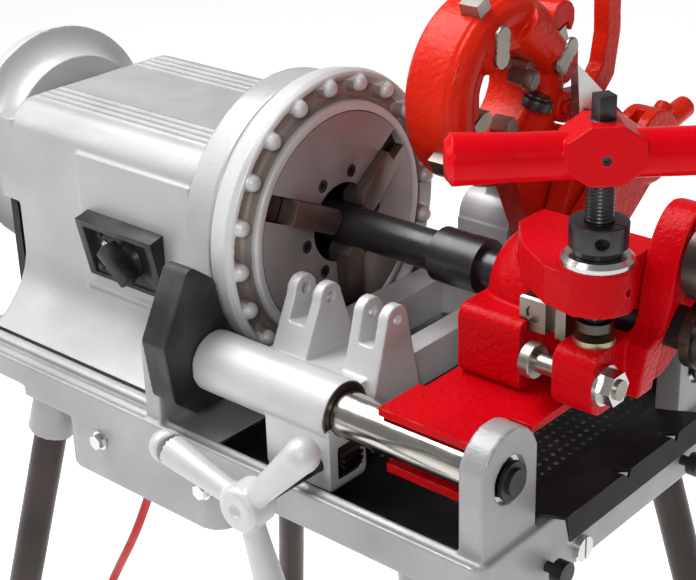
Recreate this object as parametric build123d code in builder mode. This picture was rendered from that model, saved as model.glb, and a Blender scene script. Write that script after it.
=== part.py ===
"""Compact power pipe threading machine on a four-leg stand, with a roll groover clamped on its rails.

X runs along the spindle from the rear wheel to the tool end, Y from the operator to the back, Z up.
The chuck face is at x = 0, the spindle axis at y = 0, and the feet stand on z = 0.
The helpers below take heights measured from the spindle axis.
"""

from build123d import *
import math
import os

os.makedirs("parts", exist_ok=True)

# ---- driving dimensions, mm ----
spindle_height = 900
bore_radius = 32
spindle_radius = 37
chuck_radius = 88
wheel_radius = 113
knob_count = 20
jaw_angles = (155, 35, -85)
shaft_radius = 15.5
running_fit = 0.06

rail_radius = 17
front_rail_y, front_rail_z = -130, -73.4
rear_rail_y, rear_rail_z = 115, -87

base_left, base_right, base_half_width = -300, 262, 170
deck_top = -126
rim_top = -124.5
skirt_bottom = -152
sump_bottom = -197
sump_left, sump_right = -162, 20

housing_left, housing_right, housing_half_width, housing_top = -283, -60, 98, 68
motor_y, motor_z = -58, -92
idler_y, idler_z = -45, -56

carriage_left, carriage_right = -16, 115
pinion_x, pinion_z = 104, -109
pinion_radius = 18.2
tool_pivot_y, tool_pivot_z = 125, -20
head_y, head_z, head_left, head_right = 90, 100, 50, 92

groover_left, groover_right = 162, 252
plate_bottom, plate_top = -56, -50
screw_x, screw_y = 273, -60
roll_pin_y, roll_pin_z = -71, -18
lever_left, lever_right = 285, 309
roll_left, roll_right = 314, 336
groove_roll_z = 52
lever_pivot_y, lever_pivot_z = 75, 0

leg_radius = 14
foot_height = 30
foot_x, foot_y = 352, 262
cord_radius = 4


def at(x, y, z):
    return (x, y, spindle_height + z)


def block(x0, x1, y0, y1, z0, z1, mode=Mode.ADD):
    """A box between two corners."""
    with Locations(at((x0 + x1) / 2, (y0 + y1) / 2, (z0 + z1) / 2)):
        Box(x1 - x0, y1 - y0, z1 - z0, mode=mode)


def rod(start, direction, length, radius, mode=Mode.ADD):
    """A cylinder that starts at a point and runs along a direction."""
    with Locations(Plane(origin=at(*start), z_dir=direction)):
        Cylinder(radius, length, align=(Align.CENTER, Align.CENTER, Align.MIN), mode=mode)


def taper(start, direction, length, first_radius, last_radius, mode=Mode.ADD):
    """A cone frustum that starts at a point and runs along a direction."""
    with Locations(Plane(origin=at(*start), z_dir=direction)):
        Cone(first_radius, last_radius, length, align=(Align.CENTER, Align.CENTER, Align.MIN), mode=mode)


def rod_x(x0, x1, y, z, radius, mode=Mode.ADD):
    rod((x0, y, z), (1, 0, 0), x1 - x0, radius, mode)


def rod_y(x, y0, y1, z, radius, mode=Mode.ADD):
    rod((x, y0, z), (0, 1, 0), y1 - y0, radius, mode)


def rod_z(x, y, z0, z1, radius, mode=Mode.ADD):
    rod((x, y, z0), (0, 0, 1), z1 - z0, radius, mode)


def side_plane(x):
    """A sketch plane facing +X, with its own X along machine +Y and its own Y up."""
    return Plane(origin=at(x, 0, 0), x_dir=(0, 1, 0), z_dir=(1, 0, 0))


def polar(radius, degrees):
    return radius * math.cos(math.radians(degrees)), radius * math.sin(math.radians(degrees))


def write(piece, name):
    piece.part.label = name
    export_step(piece.part, f"parts/{name}.step")


def rail_post(x0, x1, rail_y, rail_z, half_width):
    """A round-topped post standing on the deck, where a rail ends."""
    with BuildSketch(side_plane(x0)) as outline:
        with BuildLine():
            Line((rail_y - half_width, deck_top), (rail_y - half_width, rail_z + 14))
            RadiusArc((rail_y - half_width, rail_z + 14), (rail_y + half_width, rail_z + 14), half_width + 1)
            Line((rail_y + half_width, rail_z + 14), (rail_y + half_width, deck_top))
            Line((rail_y + half_width, deck_top), (rail_y - half_width, deck_top))
        make_face()
    extrude(outline.sketch, amount=x1 - x0)


leg_corners = [(x_side, y_side) for x_side in (-1, 1) for y_side in (-1, 1)]
leg_bottom = foot_height - spindle_height


def leg_line(x_side, y_side):
    """Where a leg starts under the base, the way it runs, and its length to the rubber tip."""
    head = Vector(x_side * 196, y_side * 142, skirt_bottom + 4)
    foot = Vector(x_side * foot_x, y_side * foot_y, -spindle_height)
    direction = (foot - head).normalized()
    return head, direction, (leg_bottom - head.Z) / direction.Z


# ---- base: a cast deck with a raised rim, a skirt and an oil sump below ----
wall = 6
post_left, post_right = base_right - 24, base_right - 4
opening_left, opening_right, opening_half_width = 8, 238, 156
tray_top = deck_top - 14
with BuildPart() as base_casting:
    block(base_left, base_right, -base_half_width, base_half_width, skirt_bottom, rim_top)
    fillet(base_casting.edges().filter_by(Axis.Z), 14)
    block(base_left + 9, base_right - 9, -base_half_width + 9, base_half_width - 9, deck_top, rim_top + 1,
          Mode.SUBTRACT)
    block(base_left + wall, base_right - wall, -base_half_width + wall, base_half_width - wall,
          skirt_bottom - 1, deck_top - 8, Mode.SUBTRACT)
    with BuildSketch(Plane.XY.offset(spindle_height + skirt_bottom + 1)) as sump_outline:
        with Locations(((sump_left + sump_right) / 2, 0)):
            RectangleRounded(sump_right - sump_left, 2 * base_half_width, 20)
            RectangleRounded(sump_right - sump_left - 2 * wall, 2 * base_half_width - 2 * wall, 14, mode=Mode.SUBTRACT)
    extrude(amount=sump_bottom - skirt_bottom - 1)
    block(sump_left + wall, sump_right - wall, -base_half_width + wall, base_half_width - wall,
          sump_bottom, sump_bottom + wall)
    block(opening_left, opening_right, -opening_half_width, opening_half_width, deck_top - 9, deck_top + 1,
          Mode.SUBTRACT)
    block(-260, -140, -92, -30, deck_top - 9, deck_top + 1, Mode.SUBTRACT)
    for side in (-1, 1):
        block(base_left - 1, sump_left - 46, side * base_half_width - 12, side * base_half_width + 12,
              skirt_bottom - 1, skirt_bottom + 9, Mode.SUBTRACT)
    block(base_right - 8, base_right, -152, 152, -178, skirt_bottom + 1)
    rail_post(post_left, post_right, front_rail_y, front_rail_z, 30)
    rail_post(post_left, post_right, rear_rail_y, rear_rail_z, 30)
    rail_post(-59.5, -42.5, front_rail_y - 7, front_rail_z, 28)
    rail_post(-56, -35, rear_rail_y, rear_rail_z, 22)
    rod_x(-60, post_right + 1, front_rail_y, front_rail_z, rail_radius, Mode.SUBTRACT)
    rod_x(-57, post_right + 1, rear_rail_y, rear_rail_z, rail_radius, Mode.SUBTRACT)
    for x_side, y_side in leg_corners:
        head, direction, length = leg_line(x_side, y_side)
        block(head.X - 24, head.X + 24, head.Y - 24, head.Y + 24, skirt_bottom + 4, tray_top - 3)
        rod(tuple(head), tuple(direction), 46, leg_radius + 6)
        rod(tuple(head), tuple(direction), 47, leg_radius, Mode.SUBTRACT)
write(base_casting, "base_casting")

# ---- stand: four splayed tubes, each in a socket under the base, with a rubber tip ----
with BuildPart() as stand_legs:
    for x_side, y_side in leg_corners:
        head, direction, length = leg_line(x_side, y_side)
        rod(tuple(head), tuple(direction), length, leg_radius)
        rod(tuple(head), tuple(direction), length, leg_radius - 2.5, Mode.SUBTRACT)
write(stand_legs, "stand_legs")

with BuildPart() as foot_tips:
    for x_side, y_side in leg_corners:
        head, direction, length = leg_line(x_side, y_side)
        end = head + direction * length
        rod_z(x_side * foot_x, y_side * foot_y, -spindle_height, leg_bottom - 6, 18)
        rod(tuple(end - direction * 22), tuple(direction), 34, leg_radius + 3.5)
        rod(tuple(end - direction * 60), tuple(direction), 60, leg_radius, Mode.SUBTRACT)
    block(-500, 500, -500, 500, -spindle_height - 40, -spindle_height, Mode.SUBTRACT)
write(foot_tips, "foot_tips")


# ---- gear housing: a cast shell open below, with a flared foot ----
shell = 5
shoulder = 26


def housing_solid(x0, x1, outset, mode=Mode.ADD):
    """The housing's outline across the machine, grown by an outset and extruded along X."""
    side = housing_half_width + outset
    top = housing_top + outset
    foot = 150 + outset
    with BuildSketch(side_plane(x0)) as outline:
        with BuildLine():
            Polyline((side, top - shoulder), (side, deck_top), (-foot, deck_top), (-foot, deck_top + 4))
            Spline((-foot, deck_top + 4), (-side - 18, deck_top + 24), (-side, deck_top + 66),
                   tangents=((1, 0.12), (0.03, 1)))
            Line((-side, deck_top + 66), (-side, top - shoulder))
            RadiusArc((-side, top - shoulder), (-side + shoulder, top), shoulder)
            Line((-side + shoulder, top), (side - shoulder, top))
            RadiusArc((side - shoulder, top), (side, top - shoulder), shoulder)
        make_face()
    extrude(outline.sketch, amount=x1 - x0, mode=mode)


with BuildPart() as gear_housing:
    housing_solid(housing_left, housing_right, 0)
    block(housing_left - 22, housing_left + 1, -housing_half_width, housing_half_width, -20, housing_top - 14)
    housing_solid(housing_left + shell, housing_right - shell, -shell, Mode.SUBTRACT)
    block(housing_left + shell, housing_right - shell, -110, 90, deck_top - 1, deck_top + 6, Mode.SUBTRACT)
    rod_x(housing_left - 23, housing_right + 1, 0, 0, 46, Mode.SUBTRACT)
    rod_x(housing_right - shell - 1, housing_right + 1, idler_y, idler_z, 6, Mode.SUBTRACT)
    for rib in range(4):
        for side in (-1, 1):
            rod_x(housing_left + 3, housing_right - 2, side * (70 - 9 * rib), housing_top, 1.6)
write(gear_housing, "gear_housing")

with BuildPart() as chuck_shroud:
    rod_x(-60, -32, 0, 0, wheel_radius - 1)
    rod_x(-55, -31, 0, 0, wheel_radius - 9, Mode.SUBTRACT)
    rod_x(-61, -54, 0, 0, 47, Mode.SUBTRACT)
    block(-61, -31, -wheel_radius - 5, wheel_radius + 5, -wheel_radius - 5, -100, Mode.SUBTRACT)
    chamfer(chuck_shroud.edges().filter_by(GeomType.CIRCLE).group_by(Axis.X)[-1], 1.5)
write(chuck_shroud, "chuck_shroud")

# ---- motor and gear train inside the housing ----
with BuildPart() as motor_case:
    rod_x(-248, -128, motor_y, motor_z, 30)
    chamfer(motor_case.edges().filter_by(GeomType.CIRCLE).group_by(Axis.X)[0], 4)
    rod_x(-244, -132, motor_y, motor_z, 26, Mode.SUBTRACT)
    block(-128, -122, -93, 90, -118, 42)
    rod_x(-150, -121, motor_y, motor_z, 7, Mode.SUBTRACT)
    rod_x(-129, -121, 0, 0, spindle_radius + 0.3, Mode.SUBTRACT)
    rod_x(-129, -121, idler_y, idler_z, 6, Mode.SUBTRACT)
write(motor_case, "motor_case")


def gear(x0, x1, y, z, pitch_radius, teeth, tooth_depth=2.4):
    """A spur gear whose tips stop just inside its pitch circle, so meshing pairs never touch."""
    tip = pitch_radius - 0.2
    rod_x(x0, x1, y, z, tip)
    notch = math.pi * pitch_radius / teeth
    with BuildSketch(side_plane(x0)) as notches:
        with Locations((y, z)):
            with PolarLocations(tip - tooth_depth / 2, teeth):
                Rectangle(tooth_depth + 0.4, notch)
    extrude(notches.sketch, amount=x1 - x0, mode=Mode.SUBTRACT)


motor_pinion_radius, idler_wheel_radius = 8.4, 29.9
idler_pinion_radius, spindle_gear_radius = 14.2, 57.7

with BuildPart() as motor_rotor:
    rod_x(-236, -140, motor_y, motor_z, 22)
    rod_x(-240, -120, motor_y, motor_z, 5)
    gear(-120, -109, motor_y, motor_z, motor_pinion_radius, 12)
write(motor_rotor, "motor_rotor")

with BuildPart() as idler_cluster:
    rod_x(-127, -61, idler_y, idler_z, 6 - running_fit)
    gear(-119, -110, idler_y, idler_z, idler_wheel_radius, 42)
    gear(-101, -87, idler_y, idler_z, idler_pinion_radius, 16)
write(idler_cluster, "idler_cluster")

# ---- spindle, bearings and chuck ----
with BuildPart() as spindle_tube:
    gear(-100, -88, 0, 0, spindle_gear_radius, 65)
    rod_x(-356, -12, 0, 0, spindle_radius)
    rod_x(-357, -11, 0, 0, bore_radius, Mode.SUBTRACT)
write(spindle_tube, "spindle_tube")

with BuildPart() as spindle_bearings:
    for bearing_left in (housing_left - 20, housing_right - 20):
        rod_x(bearing_left, bearing_left + 19.5, 0, 0, 46)
        rod_x(bearing_left - 1, bearing_left + 20.5, 0, 0, spindle_radius + running_fit, Mode.SUBTRACT)
write(spindle_bearings, "spindle_bearings")

jaw_width = 20
jaw_depth = 12
jaw_inner, jaw_outer = shaft_radius + 0.4, 64
screw_circle = 41
with BuildPart() as chuck_body:
    rod_x(-40, 0, 0, 0, chuck_radius)
    rod_x(-41, -12, 0, 0, chuck_radius - 8, Mode.SUBTRACT)
    rod_x(-40, -12, 0, 0, 46)
    rod_x(-41, -12, 0, 0, spindle_radius, Mode.SUBTRACT)
    rod_x(-41, 1, 0, 0, bore_radius, Mode.SUBTRACT)
    with BuildSketch(side_plane(-8.5)):
        for angle in jaw_angles:
            with Locations(Location((0, 0, 0), (0, 0, angle))):
                with Locations((chuck_radius / 2 + 1, 0)):
                    Rectangle(chuck_radius, jaw_width + 0.6)
    extrude(amount=9, mode=Mode.SUBTRACT)
    for angle in jaw_angles:
        for offset in (36, 84):
            screw_y_pos, screw_z_pos = polar(screw_circle, angle + offset)
            rod_x(-6, 1, screw_y_pos, screw_z_pos, 5.2, Mode.SUBTRACT)
write(chuck_body, "chuck_body")

with BuildPart() as chuck_screws:
    for angle in jaw_angles:
        for offset in (36, 84):
            screw_y_pos, screw_z_pos = polar(screw_circle, angle + offset)
            rod_x(-6, -0.6, screw_y_pos, screw_z_pos, 5)
            rod_x(-3.5, 0, screw_y_pos, screw_z_pos, 2.5, Mode.SUBTRACT)
write(chuck_screws, "chuck_screws")

for number, angle in enumerate(jaw_angles, start=1):
    jaw_plane = Plane(origin=at(-8.2, 0, 0), x_dir=(0, *polar(1, angle)), z_dir=(1, 0, 0))
    with BuildPart() as jaw:
        with BuildSketch(jaw_plane):
            with BuildLine():
                Polyline((jaw_inner, -5), (jaw_inner, 5), (jaw_inner + 6, jaw_width / 2),
                         (jaw_outer, jaw_width / 2), (jaw_outer, -jaw_width / 2),
                         (jaw_inner + 6, -jaw_width / 2), close=True)
            make_face()
        extrude(amount=8.2 + jaw_depth)
        for step in range(4):
            tooth_place = jaw_plane.offset(8.2 + jaw_depth - 1)
            with BuildSketch(tooth_place):
                with Locations((jaw_inner + 10 + 3 * step, 0)):
                    Rectangle(1, jaw_width - 6)
            extrude(amount=2, mode=Mode.SUBTRACT)
    write(jaw, f"jaw_{number}")

# ---- hammer wheel round the chuck, with its ring of knobs ----
with BuildPart() as hammer_wheel:
    with BuildSketch(Plane(origin=at(0, 0, 0), x_dir=(1, 0, 0), z_dir=(0, -1, 0))):
        with BuildLine():
            Polyline((-28, chuck_radius + 0.5), (-0.5, chuck_radius + 0.5), (3, 97), (-4, 102), (-4, 108),
                     (-1, 111), (-5, wheel_radius + 3), (-24, wheel_radius + 3), (-28, wheel_radius - 2),
                     close=True)
        make_face()
    revolve(axis=Axis(at(0, 0, 0), (1, 0, 0)))
    for knob in range(knob_count):
        knob_y, knob_z = polar(wheel_radius - 2.5, knob * 360 / knob_count + 2.8)
        with Locations(at(-5, knob_y, knob_z)):
            Sphere(8.6)
        rod_x(-18, -5, knob_y, knob_z, 8.6)
write(hammer_wheel, "hammer_wheel")

# ---- rear centring wheel ----
with BuildPart() as rear_wheel:
    with BuildSketch(Plane(origin=at(0, 0, 0), x_dir=(1, 0, 0), z_dir=(0, -1, 0))):
        with BuildLine():
            Line((-356, spindle_radius + running_fit), (-314, spindle_radius + running_fit))
            Line((-314, spindle_radius + running_fit), (-314, 78))
            RadiusArc((-314, 78), (-338, 101), 26)
            Line((-338, 101), (-356, 96))
            Line((-356, 96), (-356, 88))
            Line((-356, 88), (-334, 88))
            Line((-334, 88), (-330, 60))
            Line((-330, 60), (-356, 52))
            Line((-356, 52), (-356, spindle_radius + running_fit))
        make_face()
    revolve(axis=Axis(at(0, 0, 0), (1, 0, 0)))
    rod((-330, 0, 85), (0, 0, 1), 30, 2.2, Mode.SUBTRACT)
write(rear_wheel, "rear_wheel")

# ---- rails and guard ----
with BuildPart() as rails:
    rod_x(-59, base_right - 7, front_rail_y, front_rail_z, rail_radius)
    rod_x(-56, base_right - 7, rear_rail_y, rear_rail_z, rail_radius)
write(rails, "rails")

with BuildPart() as rail_plugs:
    for rail_y, rail_z in ((front_rail_y, front_rail_z), (rear_rail_y, rear_rail_z)):
        rod_x(post_right, post_right + 3, rail_y, rail_z, 14)
        rod_x(post_right + 3, post_right + 6, rail_y, rail_z, 9.5)
write(rail_plugs, "rail_plugs")

wheel_clearance = 123
with BuildPart() as rail_guard:
    with BuildSketch(side_plane(-42)) as guard_outline:
        with BuildLine():
            Polyline((-148, 10), (-125, -8), (-100, -60), (-100, -92), (-116, -112), (-150, -112),
                     (-172, -94), (-178, -46), close=True)
        make_face()
        fillet(guard_outline.vertices(), 7)
        Circle(wheel_clearance, mode=Mode.SUBTRACT)
        with Locations((front_rail_y, front_rail_z)):
            Circle(rail_radius, mode=Mode.SUBTRACT)
    extrude(amount=25)
write(rail_guard, "rail_guard")

# ---- chip tray with a splash lip over the right end ----
lip_front, lip_back = -97, 84
with BuildPart() as chip_tray:
    block(opening_left + 1, opening_right - 1, -opening_half_width + 1, opening_half_width - 1,
          tray_top - 2, tray_top)
    for side in (-1, 1):
        edge = side * (opening_half_width - 2)
        block(opening_left + 1, opening_right - 1, edge - 1, edge + 1, tray_top, deck_top)
    for edge in (opening_left + 2, opening_right - 2):
        block(edge - 1, edge + 1, -opening_half_width + 1, opening_half_width - 1, tray_top, deck_top)
    with Locations(at(150, 20, tray_top - 1)):
        with GridLocations(9, 9, 14, 22):
            Cylinder(1.7, 6, mode=Mode.SUBTRACT)
    with BuildSketch(Plane(origin=at(0, lip_front, 0), x_dir=(1, 0, 0), z_dir=(0, -1, 0))):
        with BuildLine():
            Polyline((opening_right - 3, deck_top - 2), (opening_right - 3, deck_top + 4), (252, -118), (281, -110),
                     (285, -127), (283, -128), (279.5, -112.5), (252.5, -120), (opening_right - 0.5, deck_top + 1), (opening_right - 1, deck_top - 2),
                     close=True)
        make_face()
    extrude(amount=lip_front - lip_back)
    for notch_y in (-22, 42):
        with Locations(Location(at(281, notch_y, -110), (45, 0, 0))):
            Box(26, 7, 7, mode=Mode.SUBTRACT)
write(chip_tray, "chip_tray")

with BuildPart() as tray_knobs:
    for knob_y in (-91, 89):
        rod_x(base_right, base_right + 8, knob_y, -160, 4)
        rod_x(base_right + 8, base_right + 17, knob_y, -160, 9)
write(tray_knobs, "tray_knobs")

with BuildPart() as base_bolts:
    for bolt_x in (-112, 6):
        rod_y(bolt_x, -base_half_width - 2, -base_half_width, -160, 8)
        with BuildSketch(Plane(origin=at(bolt_x, -base_half_width - 2, -160), z_dir=(0, -1, 0))):
            RegularPolygon(6.5, 6)
        extrude(amount=5)
    rod_x(base_right, base_right + 5, -50, -166, 9.5)
    block(base_right + 3, base_right + 6, -51, -49, -176, -156, Mode.SUBTRACT)
write(base_bolts, "base_bolts")

with BuildPart() as lift_handle:
    for side in (-1, 1):
        block(-299, -290, side * 84 - 11, side * 84 + 11, rim_top, -21)
    block(-299, -290, -84, 84, -84, -62)
write(lift_handle, "lift_handle")

# ---- rotary switch on the front of the housing ----
switch_x, switch_z, switch_face = -137, -34, -housing_half_width
with BuildPart() as switch_bezel:
    with BuildSketch(side_plane(-187)):
        with BuildLine():
            Polyline((switch_face, -2), (switch_face - 17, -6), (switch_face - 16, -12), (switch_face - 6, -58),
                     (switch_face, -60), close=True)
        make_face()
    extrude(amount=90)
    block(-179, -105, switch_face - 20, switch_face - 5, -54, -11, Mode.SUBTRACT)
    rod_y(switch_x, switch_face - 6, switch_face + 1, switch_z, 6 + 0.3, Mode.SUBTRACT)
    for corner_x in (-172, -104):
        for corner_z in (-20, -48):
            rod_y(corner_x, switch_face - 7, switch_face - 4.9, corner_z, 3)
write(switch_bezel, "switch_bezel")

with BuildPart() as switch_knob:
    rod_y(switch_x, switch_face - 10, switch_face - 5.3, switch_z, 13)
    rod_y(switch_x, switch_face - 5.3, switch_face, switch_z, 6)
    with BuildSketch(Plane(origin=at(switch_x, switch_face - 10, switch_z), x_dir=(1, 0, 0), z_dir=(0, -1, 0))):
        with BuildLine():
            Polyline((-15, -5), (-15, 5), (8, 6.5), (17, 0), (8, -6.5), close=True)
        make_face()
    extrude(amount=13)
write(switch_knob, "switch_knob")

# ---- drive shaft held in the jaws, and the roll it turns ----
with BuildPart() as drive_shaft:
    rod_x(-20, 101, 0, 0, shaft_radius)
    rod_x(101, 142, 0, 0, 21)
    rod_x(142, roll_right + 4, 0, 0, 15)
    fillet(drive_shaft.edges().filter_by(GeomType.CIRCLE).group_by(Axis.X)[-1], 2)
write(drive_shaft, "drive_shaft")

with BuildPart() as drive_roll:
    rod_x(roll_left, roll_left + 8, 0, 0, 24)
    rod_x(roll_left + 8, roll_right - 8, 0, 0, 21)
    rod_x(roll_right - 8, roll_right, 0, 0, 24)
    rod_x(roll_left - 1, roll_right + 1, 0, 0, 15, Mode.SUBTRACT)
write(drive_roll, "drive_roll")

# ---- roll groover: base on the rails, bearing body, lever arm and feed screw ----
with BuildPart() as groover_base:
    block(groover_left - 6, post_left - 3, front_rail_y - 12, -98, plate_bottom, plate_top)
    block(groover_left, groover_right, -98, 84, plate_bottom, plate_top)
    block(groover_left, post_left - 3, 84, 140, plate_bottom, plate_top)
    block(groover_left, post_left - 3, front_rail_y + 18, front_rail_y + 28, -104, plate_bottom + 1)
    block(groover_left - 6, post_left - 3, front_rail_y - 4, front_rail_y + 28, -104, -97)
    block(groover_left, post_left - 3, rear_rail_y - 22, rear_rail_y + 25, rear_rail_z + 10, plate_bottom)
    rod_x(groover_left - 1, post_left, rear_rail_y, rear_rail_z, rail_radius + running_fit, Mode.SUBTRACT)
write(groover_base, "groover_base")

with BuildPart() as groover_body:
    with BuildSketch(Plane(origin=at(0, 0, 0), x_dir=(1, 0, 0), z_dir=(0, -1, 0))):
        with BuildLine():
            Line((165, 0), (165, 28))
            Spline((165, 28), (174, 40), (205, 47), tangents=((0.3, 1), (1, 0.1)))
            Line((205, 47), (284, 47))
            Line((284, 47), (284, 0))
            Line((284, 0), (165, 0))
        make_face()
    revolve(axis=Axis(at(0, 0, 0), (1, 0, 0)))
    block(groover_left + 5, 219.5, -68, 47, plate_top, 3)
    fillet(groover_body.edges().filter_by(Axis.X).group_by(Axis.Y)[0], 8)
    rod_z(screw_x, screw_y, 32, 62, 25.5)
    with BuildSketch(Plane.XY.offset(spindle_height + 31)) as shelf:
        with BuildLine():
            Polyline((screw_x, screw_y - 25.5), (246, -80), (214, -60), (190, -30), (190, 0), (284, 0), (284, -42),
                     (screw_x + 25.5, screw_y), close=True)
        make_face()
    extrude(shelf.sketch, amount=27)
    block(258, 284, 40, 94, -19, 19)
    rod_x(142, 285, 0, 0, 24, Mode.SUBTRACT)
    rod_x(257, 285, lever_pivot_y, lever_pivot_z, 9, Mode.SUBTRACT)
    rod_z(screw_x, screw_y, 28, 64, 10, Mode.SUBTRACT)
    block(244, 285, -70, -20, -60, 25.9, Mode.SUBTRACT)
    block(211.8, 220, -58.2, -47, -4.6, 4, Mode.SUBTRACT)
    block(142, 290, -60, 60, -60, plate_top, Mode.SUBTRACT)
write(groover_body, "groover_body")

with BuildPart() as shaft_bushes:
    for bush_left in (166, 256):
        rod_x(bush_left, bush_left + 26, 0, 0, 24)
        rod_x(bush_left - 1, bush_left + 27, 0, 0, 15 + running_fit, Mode.SUBTRACT)
write(shaft_bushes, "shaft_bushes")

with BuildPart() as stop_block:
    block(212, 233, -58, -47.2, -4.5, 20)
    rod_y(223, -59, -52, 8, 6, Mode.SUBTRACT)
    rod_y(223, -56, -52, 8, 5.6)
    chamfer(stop_block.edges().group_by(Axis.Z)[-1], 1.5)
    block(233, 241, -50.5, -47.2, -4.5, 18)
    block(241, 249, -58, -47.2, -4.5, 18)
write(stop_block, "stop_block")

# The lever arches over the drive shaft, from the pivot at the back to the lug under the feed screw.
with BuildPart() as lever_arm:
    with BuildSketch(side_plane(lever_left)):
        with BuildLine():
            Polyline((-46, -36), (-46, 2), (-30, 10))
            Spline((-30, 10), (-22, 52), (4, 84), (60, 60), (97, 6), tangents=((0.4, 1), (0.05, -1)))
            RadiusArc((97, 6), (58, -16), 23)
            Spline((58, -16), (36, 14), (0, 34), (-20, 14), (-28, -36), tangents=((-0.5, 1), (0, -1)))
            Line((-28, -36), (-46, -36))
        make_face()
    extrude(amount=lever_right - lever_left)
    block(256, lever_left + 3, -84, -36, -40, 5)
    fillet(lever_arm.edges().filter_by(Axis.X).group_by(Axis.Y)[0], 12)
    rod_x(245, lever_left + 4, roll_pin_y, roll_pin_z, 7, Mode.SUBTRACT)
    rod_x(lever_left - 1, lever_right + 1, lever_pivot_y, lever_pivot_z, 9 + running_fit, Mode.SUBTRACT)
    rod_x(lever_left - 1, lever_right + 1, 0, groove_roll_z, 8, Mode.SUBTRACT)
write(lever_arm, "lever_arm")

with BuildPart() as lever_pivot_pin:
    rod_x(258, lever_right + 0.4, lever_pivot_y, lever_pivot_z, 9)
    rod_x(lever_right + 0.4, lever_right + 6, lever_pivot_y, lever_pivot_z, 14)
write(lever_pivot_pin, "lever_pivot_pin")

with BuildPart() as roll_pin:
    rod_x(228, 237, roll_pin_y, roll_pin_z, 12.5)
    chamfer(roll_pin.edges().filter_by(GeomType.CIRCLE), 0.8)
    rod_x(237, 302, roll_pin_y, roll_pin_z, 7)
write(roll_pin, "roll_pin")

with BuildPart() as flange_nut:
    rod_x(288, 291, roll_pin_y, roll_pin_z, 14)
    with BuildSketch(side_plane(291)):
        with Locations((roll_pin_y, roll_pin_z)):
            RegularPolygon(12, 6)
    extrude(amount=9)
    rod_x(287, 301, roll_pin_y, roll_pin_z, 7, Mode.SUBTRACT)
write(flange_nut, "flange_nut")

with BuildPart() as thrust_seat:
    rod_z(screw_x, screw_y, 5, 9, 14)
write(thrust_seat, "thrust_seat")

with BuildPart() as groove_roll_axle:
    rod_x(lever_left, roll_right + 4, 0, groove_roll_z, 8)
write(groove_roll_axle, "groove_roll_axle")

with BuildPart() as groove_roll:
    rod_x(roll_left, roll_right, 0, groove_roll_z, 26)
    rod_x(roll_left + 9, roll_right - 9, 0, groove_roll_z, 28)
    rod_x(roll_left - 1, roll_right + 1, 0, groove_roll_z, 8 + running_fit, Mode.SUBTRACT)
write(groove_roll, "groove_roll")

# ---- feed screw, its swivel pad, depth nut and T-handle ----
screw_radius = 9.4
handle_height = 134
with BuildPart() as swivel_pad:
    taper((screw_x, screw_y, 9.5), (0, 0, 1), 5, 5, 12)
    rod_z(screw_x, screw_y, 14.5, 21, 12)
write(swivel_pad, "swivel_pad")

with BuildPart() as feed_screw:
    rod_z(screw_x, screw_y, 21.2, 157, screw_radius)
    with Locations(Location(at(screw_x, screw_y, 164), (0, 0, -29))):
        Box(11.5, 11.5, 18)
    for groove in range(9):
        with Locations(at(screw_x, screw_y, 93 + 1.6 * groove)):
            Torus(screw_radius + 0.2, 0.5, mode=Mode.SUBTRACT)
write(feed_screw, "feed_screw")

with BuildPart() as dished_washer:
    rod_z(screw_x, screw_y, 62, 68, 24)
    chamfer(dished_washer.edges().group_by(Axis.Z)[-1], 3)
    rod_z(screw_x, screw_y, 61, 69, 11, Mode.SUBTRACT)
write(dished_washer, "dished_washer")

with BuildPart() as depth_nut:
    rod_z(screw_x, screw_y, 68.3, 90, 19.5)
    chamfer(depth_nut.edges().group_by(Axis.Z)[-1], 1)
    block(screw_x - 20, screw_x - 8, screw_y - 1, screw_y + 1, 68, 91, Mode.SUBTRACT)
    rod_z(screw_x, screw_y, 67, 91, screw_radius, Mode.SUBTRACT)
write(depth_nut, "depth_nut")

with BuildPart() as t_handle:
    grip_direction = (0.731, 0.682, 0)
    for sign in (-1, 1):
        outward = (sign * grip_direction[0], sign * grip_direction[1], 0)
        start = (screw_x, screw_y, handle_height)
        taper(start, outward, 60, 15, 15.5)
        middle = (screw_x + 60 * outward[0], screw_y + 60 * outward[1], handle_height)
        taper(middle, outward, 32, 15.5, 17)
        end = (screw_x + 92 * outward[0], screw_y + 92 * outward[1], handle_height)
        taper(end, outward, 6, 17, 11)
    rod_z(screw_x, screw_y, 117.5, 157, 25)
    chamfer(t_handle.edges().filter_by(GeomType.CIRCLE).group_by(Axis.Z)[-1], 5)
    rod_z(screw_x, screw_y, 116, 158, screw_radius, Mode.SUBTRACT)
write(t_handle, "t_handle")

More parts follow.
